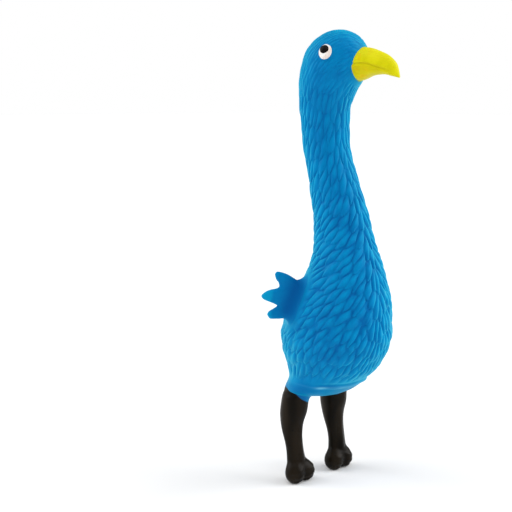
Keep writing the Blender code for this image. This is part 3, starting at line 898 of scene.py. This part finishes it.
def leg_field(points):
    """The left leg with its two toes, standing on the floor."""
    z = points[..., 2]
    knots = LEG_STATIONS[:, 0]
    at = np.clip(z, knots[0], knots[-1]).ravel()
    out, back, width, depth = (
        column.reshape(z.shape) for column in spline(knots, LEG_STATIONS[:, 1:], at).T
    )
    x = points[..., 0] - ANKLE[0] - out
    y = points[..., 1] - ANKLE[1] - back
    turn = np.arctan2(x, -y)
    shin = ease(0.010, 0.018, z) * ease(0.050, 0.036, z)
    grow = 1 + shin * (0.050 * np.cos(3 * turn) + 0.03 * np.cos(5 * turn + 0.6))
    leg = (np.sqrt((x / width) ** 2 + (y / depth) ** 2) / grow - 1) * 0.9
    leg = leg * np.minimum(width, depth)
    leg = soft_max(leg, 0.0085 - z, 0.006)  # rounded off between the toes
    for toe_out in TOES_OUT:
        offset = points - np.array([ANKLE[0], ANKLE[1], 0])
        offset = (offset - np.array([toe_out, TOE_BACK, TOE_UP])) / TOE_SIZE
        toe = (length(offset) - 1) * min(TOE_SIZE)
        crease = np.sin(offset[..., 2] * 11 + offset[..., 0] * 2.5)
        toe += 0.00016 * crease * ease(0.2, -0.7, offset[..., 1])
        leg = soft_min(leg, toe, TOE_FLARE)
    return soft_max(leg, -z, 0.0008)  # flat on the floor


def near_body_field(top):
    """A field: how far points are outside the smooth body, from its nearest point."""
    skin, _ = smooth_skin(SKIN_ROWS)
    low = SKIN_ROWS[:, 0] < top
    normals = grid_normals(skin)[low].reshape(-1, 3)
    skin = skin[low].reshape(-1, 3)
    tree = balanced_tree(skin)

    def field(points):
        hits = [tree.find(p)[1] for p in points]
        return ((points - skin[hits]) * normals[hits]).sum(-1)

    return field


def leg_surface():
    """The left leg, flared where it leaves the base, without what is inside the body."""
    near_body = near_body_field(0.095)

    def field(points):
        leg = leg_field(points)
        close = (np.abs(leg) < 0.006) & (points[..., 2] > 0.045)
        body = np.ones(leg.shape)
        body[close] = near_body(points[close]) + UNDER_SKIN
        joined = soft_min(leg, body, LEG_FLARE)
        return soft_max(joined, points[..., 2] - LEG_TOP, 0.0002)

    ankle = np.array([ANKLE[0], ANKLE[1], 0])
    low = ankle - (0.0175, 0.0175, 0.001)
    high = ankle + (0.0185, 0.0190, 0.0825)
    points, normals, quads = field_surface(field, low, high, LEG_STEP)
    keep = (near_body(points) > -0.00042)[quads].any(axis=1)
    keep &= (leg_field(points) < 0.0030)[quads].all(axis=1)
    return points, normals, quads[keep]


def leg_paint(points):
    """1 where a leg is painted black: the edge is higher on the outside and behind."""
    out = np.abs(points[..., 0]) - ANKLE[0]
    back = points[..., 1] - ANKLE[1]
    edge = PAINT_HEIGHT + 0.55 * np.clip(out, -0.012, 0.012)
    edge = edge + 0.40 * np.clip(back, -0.01, 0.01) + 0.0006 * wave_noise(points, 0.009, 12)
    return ease(0.0004, -0.0004, points[..., 2] - edge)


def make_legs(material):
    """Each leg in three pieces, which reach across its hip, knee and ankle."""
    shape = leg_surface()
    for label in ("left", "right"):
        points, normals, quads = shape
        painted_highlight_streaks = wave_noise(points * np.array([1, 1, 0.3]), 0.012, 41)
        marks = {
            "paint": leg_paint(points),
            "shade": base_shade(points),
            # painted highlight streaks down the legs
            "painted_highlight_streaks": ease(-0.5, 0.9, painted_highlight_streaks),
        }
        height = points[quads][..., 2].mean(axis=1)
        top = inf
        for a, b, joint, bottom, high, low in LEG_BANDS:
            name = f"leg_skin_{a}_to_{b}_{label}"
            band = quads[(height < top) & (height >= bottom)]
            piece = surface_piece(name, points, normals, band, material, **marks)
            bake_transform(piece)
            nodes = [f"{b}_{label}"] + [f"leg_top_{label}"] * (a == "torso")
            settle(piece, "black_latex", *nodes)
            top = bottom
        shape = mirrored(*shape)


# ---------------- head pieces


def make_beak(material):
    """The hooked beak: rings across its line, widest at the groove of the mouth."""
    forward = heading(BEAK_TURN)
    across = heading(BEAK_TURN + pi / 2)
    up = np.array([0, 0, 1])
    root = beak_root()
    share = np.linspace(0, 1, 170)
    long = BEAK_TOP[-1, 0] - BEAK_TOP[0, 0]
    along = BEAK_TOP[0, 0] + long * (1 - (1 - share) ** 1.6)
    top, bottom, mouth, half = (
        spline(t[:, 0], t[:, 1:], along)[:, 0]
        for t in (BEAK_TOP, BEAK_BOTTOM, BEAK_MOUTH, BEAK_HALF_WIDTH)
    )
    around = full_turn(200)
    rise, side = np.cos(around)[None, :], -np.sin(around)[None, :]
    width = np.sign(side) * np.abs(side) ** 0.92 * half[:, None]
    tall = np.where(rise > 0, (top - mouth)[:, None], (mouth - bottom)[:, None])
    level = tall * rise + mouth[:, None]
    width = width * (1 - 0.10 * ease(0.2, 1, -rise))
    points = root + along[:, None, None] * forward + width[..., None] * across
    points = points + level[..., None] * up
    normals = grid_normals(points)
    gap = level - mouth[:, None]
    fade = ease(0.0270, 0.018, along)[:, None] * np.abs(side) ** 0.5
    line = bell(gap, 0.00070) * fade
    lip = bell(gap + 0.0018, 0.0012) * fade
    push = -0.00040 * line + 0.00015 * lip
    push = push + 0.00012 * wave_noise(points, 0.008, 5) + 0.0002 * wave_noise(points, 0.02, 6)
    points = points + normals * push[..., None]
    mesh = ring_mesh("beak_skin", points)
    # the groove mark places painted shade along the mouth
    add_attribute(mesh, "groove", line)
    add_attribute(mesh, "lower", ease(0.0006, -0.0030, gap))
    add_attribute(mesh, "along", np.broadcast_to(along[:, None], gap.shape).copy())
    beak = add_object("beak_skin", mesh, material)
    settle(beak, "yellow_latex", "beak", body="head")


def bead(name, middle, facing, size, material):
    """A flattened bead, a little squarer than an ellipsoid of these half sizes."""
    lift = np.linspace(-pi / 2, pi / 2, 50)[1:-1, None]
    turn = full_turn(96)[None, :]
    flat = np.cos(lift) ** 0.8
    local = np.stack(
        [flat * np.cos(turn), flat * np.sin(turn), np.sin(lift) + 0 * turn], axis=-1
    )
    local *= np.array(size)
    local += 0.00006 * wave_noise(local, 0.004, 8)[..., None]
    points = np.asarray(middle) + local @ np.array(facing.to_matrix()).T
    return add_object(name, ring_mesh(name, points), material)


def eye_place(side):
    """Where an eye sits on the skull and which way it looks: side is 1 on the left."""
    turn = BEAK_TURN + side * EYE_TURN
    x, y, half_width, half_depth = level_slice("head_shell", EYE_HEIGHT)
    middle = np.array([x, y, EYE_HEIGHT]) + heading(turn) * (half_width + half_depth) / 2
    outward = heading(turn, EYE_LIFT)
    return middle, outward, Vector(outward).to_track_quat("Z", "Y")


def make_eyes(white, black):
    """Raised white shields with the pupils at their tops."""
    for side, label in ((1, "left"), (-1, "right")):
        middle, outward, facing = eye_place(side)
        upward = np.array(facing @ Vector((0, 1, 0)))
        aft = np.array(facing @ Vector((side, 0, 0)))
        eye = bead(f"eye_skin_{label}", middle, facing, EYE_SIZE, white)
        seat = middle + upward * PUPIL_UP + aft * PUPIL_AFT + outward * PUPIL_OUT
        pupil = bead(f"pupil_skin_{label}", seat, facing, PUPIL_SIZE, black)
        settle(eye, "eye_white", f"eye_white_{label}", body="head")
        settle(pupil, "eye_black", f"pupil_{label}", body="head")


# ---------------- squeaker


def lathe(name, profile, middle, material):
    """A closed profile of (radius, height) turned about an upright line."""
    turn = full_turn(128)
    radius, height = np.array([*profile, profile[0]]).T[..., None]
    points = np.empty((len(radius), len(turn), 3))
    points[..., 0] = middle[0] + radius * np.cos(turn)
    points[..., 1] = middle[1] + radius * np.sin(turn)
    points[..., 2] = middle[2] + height
    return add_object(name, ring_mesh(name, points, False, False), material)


def rounded(profile, reach):
    """A closed profile with each corner cut by a short curve."""
    p = np.array(profile, float)
    out = []
    for before, corner, after in zip(np.roll(p, 1, axis=0), p, np.roll(p, -1, axis=0)):
        back, on = before - corner, after - corner
        cut = min(reach, 0.4 * np.linalg.norm(back), 0.4 * np.linalg.norm(on))
        a, b = corner + unit(back) * cut, corner + unit(on) * cut
        for t in (0, 0.25, 0.5, 0.75, 1):
            out.append(a * (1 - t) ** 2 + corner * 2 * t * (1 - t) + b * t**2)
    return out


def make_housing(plastic):
    """The squeaker's flanged tube, pressed into the base."""
    low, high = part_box("squeaker_housing")
    middle = np.array([(low.x + high.x) / 2, (low.y + high.y) / 2, low.z])
    tall = high.z - low.z
    profile = (
        *((0.0050, 0.0007), (0.0056, 0.0009), (0.0080, 0.0009), (0.0086, 0.0007)),
        *((0.0093, 0.0007), (0.0095, 0.0010), (0.0095, 0.0016), (0.0075, 0.0016)),
        *((0.0075, tall), (0.0063, tall), (0.0063, 0.0014), (0.0050, 0.0014)),
    )
    housing = lathe("squeaker_housing_skin", rounded(profile, HOUSING_ROUND), middle, plastic)
    settle(housing, "white_plastic", "squeaker_housing", body="torso")


def make_grille(plastic):
    """The disc across the tube, with six holes in a ring."""
    low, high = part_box("squeaker_grille")
    curve = bpy.data.curves.new("grille", "CURVE")
    curve.dimensions = "2D"
    curve.fill_mode = "BOTH"
    curve.extrude = (high.z - low.z) / 2 - GRILLE_BEVEL
    curve.bevel_depth = GRILLE_BEVEL
    curve.bevel_resolution = 2
    sixths = [pi * k / 3 for k in range(6)]
    holes = [(HOLE_RING * cos(a), HOLE_RING * sin(a), HOLE_RADIUS) for a in sixths]
    rim = (0, 0, (high.x - low.x) / 2 - GRILLE_BEVEL)
    for x, y, radius in (rim, *holes):
        line = curve.splines.new("POLY")
        line.points.add(47)
        line.use_cyclic_u = True
        for k, point in enumerate(line.points):
            turn = 2 * pi * k / 48
            point.co = (x + radius * cos(turn), y + radius * sin(turn), 0, 1)
    shaped = bpy.data.objects.new("grille", curve)
    bpy.context.scene.collection.objects.link(shaped)
    mesh = bpy.data.meshes.new_from_object(shaped)
    bpy.data.objects.remove(shaped)
    mesh.materials.clear()
    mesh.transform(Matrix.Translation((low + high) / 2))
    grille = add_object("squeaker_grille_skin", mesh, plastic)
    settle(grille, "white_plastic", "squeaker_grille", body="torso")


def make_reed(plastic, reed_plastic):
    """The CAD's own tone plate and reed, with their edges softened."""
    for name, material, slot in (
        ("squeaker_tone_plate", plastic, "white_plastic"),
        ("squeaker_reed", reed_plastic, "reed_plastic"),
    ):
        part = frame["nodes"][name]
        part.data.materials.clear()
        part.data.materials.append(material)
        bevel = part.modifiers.new("edges", "BEVEL")
        bevel.width = REED_BEVEL
        bevel.segments = 2


# ---------------- materials


def linear(*rgb):
    """An 8-bit display colour as the linear colour that a shader needs."""
    out = []
    for value in rgb:
        c = value / 255
        out.append(c / 12.92 if c <= 0.04045 else ((c + 0.055) / 1.055) ** 2.4)
    return (*out, 1.0)


class Nodes:
    """Short calls for building the nodes of a material, or of the surroundings."""

    def __init__(self, name, kind="materials", shader="Principled BSDF"):
        self.owner = getattr(bpy.data, kind).new(name)
        self.owner.use_nodes = True
        self.tree = self.owner.node_tree
        self.shader = self.tree.nodes[shader]

    def node(self, kind, **values):
        """A new node; names with _ stand for inputs with a space."""
        made = self.tree.nodes.new(kind)
        for key, value in values.items():
            if hasattr(made, key):
                setattr(made, key, value)
            else:
                made.inputs[key.replace("_", " ")].default_value = value
        return made

    def put(self, value, socket):
        """A plain number or colour, or a link from another node."""
        if isinstance(value, (int, float, tuple)):
            socket.default_value = value
        else:
            self.tree.links.new(value, socket)

    def noise(self, scale, detail=3.0, rough=0.5):
        made = self.node("ShaderNodeTexNoise", Scale=scale, Detail=detail, Roughness=rough)
        coordinates = self.node("ShaderNodeTexCoord")
        self.put(coordinates.outputs["Object"], made.inputs["Vector"])
        return made.outputs["Fac"]

    def spread(self, value, low, high, to_low=0.0, to_high=1.0):
        """A value's range from low to high, stretched smoothly over another range."""
        limits = dict(From_Min=low, From_Max=high, To_Min=to_low, To_Max=to_high)
        made = self.node("ShaderNodeMapRange", interpolation_type="SMOOTHSTEP", **limits)
        self.put(value, made.inputs["Value"])
        return made.outputs["Result"]

    def mix(self, factor, first, second):
        made = self.node("ShaderNodeMix", data_type="RGBA")
        for value, key in ((factor, 0), (first, 6), (second, 7)):
            self.put(value, made.inputs[key])
        return made.outputs[2]

    def patches(self, first, second, scale, detail=3, low=0.3, high=0.7):
        """Two colours in soft patches."""
        return self.mix(self.spread(self.noise(scale, detail), low, high), first, second)

    def multiply(self, a, b):
        made = self.node("ShaderNodeMath", operation="MULTIPLY")
        self.put(a, made.inputs[0])
        self.put(b, made.inputs[1])
        return made.outputs[0]

    def attribute(self, name):
        return self.node("ShaderNodeAttribute", attribute_name=name).outputs["Fac"]

    def finish(self, colour, rough, bump, **values):
        """Colour, roughness and fine bumps; gives the finished material.

        rough: the noise's scale and detail, its range and the roughness at each end.
        bump: the noise's scale and detail, then the bumps' height and strength.
        """
        self.put(colour, self.shader.inputs["Base Color"])
        patchy = self.spread(self.noise(*rough[:2]), *rough[2:])
        self.put(patchy, self.shader.inputs["Roughness"])
        *grain, distance, strength = bump
        bumps = self.node("ShaderNodeBump", Distance=distance, Strength=strength)
        self.put(self.noise(*grain), bumps.inputs["Height"])
        self.put(bumps.outputs["Normal"], self.shader.inputs["Normal"])
        for key, value in values.items():
            self.put(value, self.shader.inputs[key.replace("_", " ")])
        return self.owner


def blue_colour(n, grooved=True):
    """Soft blue: painted shade in the grooves, painted highlights on crests and a painted sheen
    where it turns away.
    """
    colour = n.patches(linear(0, 117, 179), linear(0, 131, 191), 60)
    if grooved:
        # painted shade in the grooves and painted highlights on the crests
        groove = n.attribute("groove")
        colour = n.mix(n.spread(groove, 0.0, 1.0, 0, 0.74), colour, linear(0, 92, 162))
        colour = n.mix(n.spread(groove, -0.02, -0.3, 0, 0.45), colour, linear(4, 150, 206))
    # painted sheen: paler where the surface turns away from the camera
    facing = n.node("ShaderNodeLayerWeight", Blend=0.35).outputs["Facing"]
    edge = n.spread(facing, 0.08, 0.85, 0.0, 0.9)
    colour = n.mix(edge, colour, linear(10, 174, 208))
    # painted highlight out along the wing fingers, painted shade at the wing roots and the base
    shade = n.attribute("shade")
    colour = n.mix(n.spread(shade, 0, -0.3, 0, 0.8), colour, linear(6, 158, 206))
    return n.mix(n.spread(shade, 0, 1, 0, 0.88), colour, linear(0, 86, 158))


def blue_latex(name="blue_latex", grooved=True):
    """The skin's latex, with stray paint from the beak and the legs where grooved."""
    n = Nodes(name)
    colour = blue_colour(n, grooved)
    if grooved:
        spray = n.multiply(n.attribute("spray"), 0.85)
        colour = n.mix(spray, colour, linear(140, 165, 40))
        # painted highlights on the hem's lip and the base's lower edge
        colour = n.mix(n.multiply(n.attribute("shine"), 0.62), colour, linear(120, 208, 236))
        colour = n.mix(n.attribute("paint"), colour, linear(22, 16, 9))
    rough, bump = (140, 4, 0.25, 0.75, 0.38, 0.52), (1300, 4, 0.6, 0.00012, 0.5)
    soft = dict(Subsurface_Weight=0.08, Subsurface_Scale=0.004, Subsurface_Radius=(0.3, 0.8, 1.0))
    return n.finish(colour, rough, bump, Specular_IOR_Level=0.04, **soft)


def black_latex():
    """Black paint with a brown tinge and painted highlight streaks, over blue where the leg
    leaves the base.
    """
    n = Nodes("black_latex")
    black = n.patches(linear(12, 9, 5), linear(22, 16, 9), 90, 4)
    # painted highlight streaks, lighter than the black paint
    black = n.mix(n.multiply(n.attribute("painted_highlight_streaks"), 0.7), black, linear(38, 31, 22))
    colour = n.mix(n.attribute("paint"), blue_colour(n, False), black)
    rough, bump = (150, 4, 0.25, 0.75, 0.26, 0.42), (1200, 4, 0.6, 0.00015, 0.6)
    return n.finish(colour, rough, bump, Specular_IOR_Level=0.07)


def yellow_latex():
    """Yellow paint: mustard below the mouth, with stray orange at its root."""
    n = Nodes("yellow_latex")
    tone = n.spread(n.noise(120, 3), 0.3, 0.7)
    upper = n.mix(tone, linear(214, 208, 0), linear(226, 220, 12))
    lower = n.mix(tone, linear(208, 194, 0), linear(220, 207, 0))
    colour = n.mix(n.attribute("lower"), upper, lower)
    # painted shade along the groove of the mouth
    colour = n.mix(n.multiply(n.attribute("groove"), 0.5), colour, linear(178, 160, 0))
    blotch = n.spread(n.noise(210, 2), 0.54, 0.66)
    root = n.spread(n.attribute("along"), 0.012, 0.002)
    colour = n.mix(n.multiply(n.multiply(blotch, root), 0.3), colour, linear(242, 176, 0))
    rough, bump = (160, 4, 0.25, 0.75, 0.36, 0.50), (1200, 4, 0.6, 0.00012, 0.5)
    soft = dict(Subsurface_Weight=0.05, Subsurface_Scale=0.003)
    return n.finish(colour, rough, bump, Specular_IOR_Level=0.10, **soft)


def eye_white_paint():
    n = Nodes("eye_white")
    colour = n.patches(linear(246, 246, 244), linear(238, 222, 212), 260, 3, 0.42, 0.62)
    return n.finish(colour, (300, 3, 0.3, 0.7, 0.25, 0.36), (900, 3, 0.0001, 0.4))


def eye_black_paint():
    n = Nodes("eye_black")
    colour = n.patches(linear(4, 3, 3), linear(18, 9, 7), 400)
    rough, bump = (300, 3, 0.3, 0.7, 0.22, 0.34), (900, 3, 0.0001, 0.4)
    return n.finish(colour, rough, bump, Specular_IOR_Level=0.12)


def squeaker_plastic(name, first, second):
    n = Nodes(name)
    colour = n.patches(first, second, 150)
    rough, bump = (500, 3, 0.3, 0.7, 0.28, 0.40), (1500, 3, 0.00004, 0.4)
    soft = dict(Subsurface_Weight=0.1, Subsurface_Scale=0.001)
    return n.finish(colour, rough, bump, **soft)


# ---------------- stage


def stand(name, data, place, toward):
    """Puts a lamp or camera at a place, with its back turned toward a direction."""
    thing = bpy.data.objects.new(name, data)
    thing.location = place
    thing.rotation_mode = "QUATERNION"
    thing.rotation_quaternion = toward.to_track_quat("Z", "Y")
    bpy.context.scene.collection.objects.link(thing)
    return thing


def make_floor():
    n = Nodes("pale_floor")
    colour = n.patches((0.94, 0.94, 0.94, 1), (0.96, 0.96, 0.96, 1), 3, 2)
    n.put(colour, n.shader.inputs["Base Color"])
    n.put(0.9, n.shader.inputs["Roughness"])
    n.put(0.1, n.shader.inputs["Specular IOR Level"])
    mesh = bpy.data.meshes.new("floor")
    corners = [(x * FLOOR_HALF, y * FLOOR_HALF, 0) for x, y in FLOOR_CORNERS]
    mesh.from_pydata(corners, [], [(0, 1, 2, 3)])
    add_object("floor", mesh, n.owner)


def make_light():
    """Even light from all around, which the camera sees as white, and three lamps."""
    n = Nodes("studio", "worlds", "Background")
    n.put((1, 1, 1, 1), n.shader.inputs["Color"])
    seen = n.node("ShaderNodeLightPath").outputs["Is Camera Ray"]
    strength = n.node("ShaderNodeMapRange", To_Min=WORLD_LIGHT, To_Max=1.0)
    n.put(seen, strength.inputs["Value"])
    n.put(strength.outputs["Result"], n.shader.inputs["Strength"])
    bpy.context.scene.world = n.owner
    bpy.context.scene.view_settings.view_transform = "Standard"

    for name, turn, lift, power in STUDIO_LIGHTS:
        lamp = bpy.data.lights.new(name, "SUN")
        lamp.energy = power
        lamp.angle = LAMP_SPREAD
        toward = Vector(heading(CAMERA_TURN + radians(turn), radians(lift)))
        stand(name, lamp, toward, toward)


def make_camera():
    """The photograph's view: from the bird's right front, a little above."""
    right = Vector((cos(CAMERA_TURN), sin(CAMERA_TURN), 0))
    axis = Vector((0, ANKLE[1], CAMERA_AIM_HEIGHT))
    target = axis - right * CAMERA_AIM_LEFT
    back = Vector(heading(CAMERA_TURN, CAMERA_LIFT))
    data = bpy.data.cameras.new("camera")
    data.lens = CAMERA_LENS
    data.sensor_width = 36
    camera = stand("camera", data, target + back * CAMERA_DISTANCE, back)
    bpy.context.scene.camera = camera


plain_blue = blue_latex("plain_blue_latex", grooved=False)
white_plastic = squeaker_plastic("white_plastic", (0.75, 0.74, 0.70, 1), (0.8, 0.8, 0.77, 1))
reed_plastic = squeaker_plastic("reed_plastic", (0.62, 0.48, 0.22, 1), (0.7, 0.56, 0.28, 1))
make_skin(blue_latex())
make_wings(plain_blue)
make_legs(black_latex())
make_beak(yellow_latex())
make_eyes(eye_white_paint(), eye_black_paint())
make_housing(white_plastic)
make_grille(white_plastic)
make_reed(white_plastic, reed_plastic)
make_floor()
make_light()
make_camera()
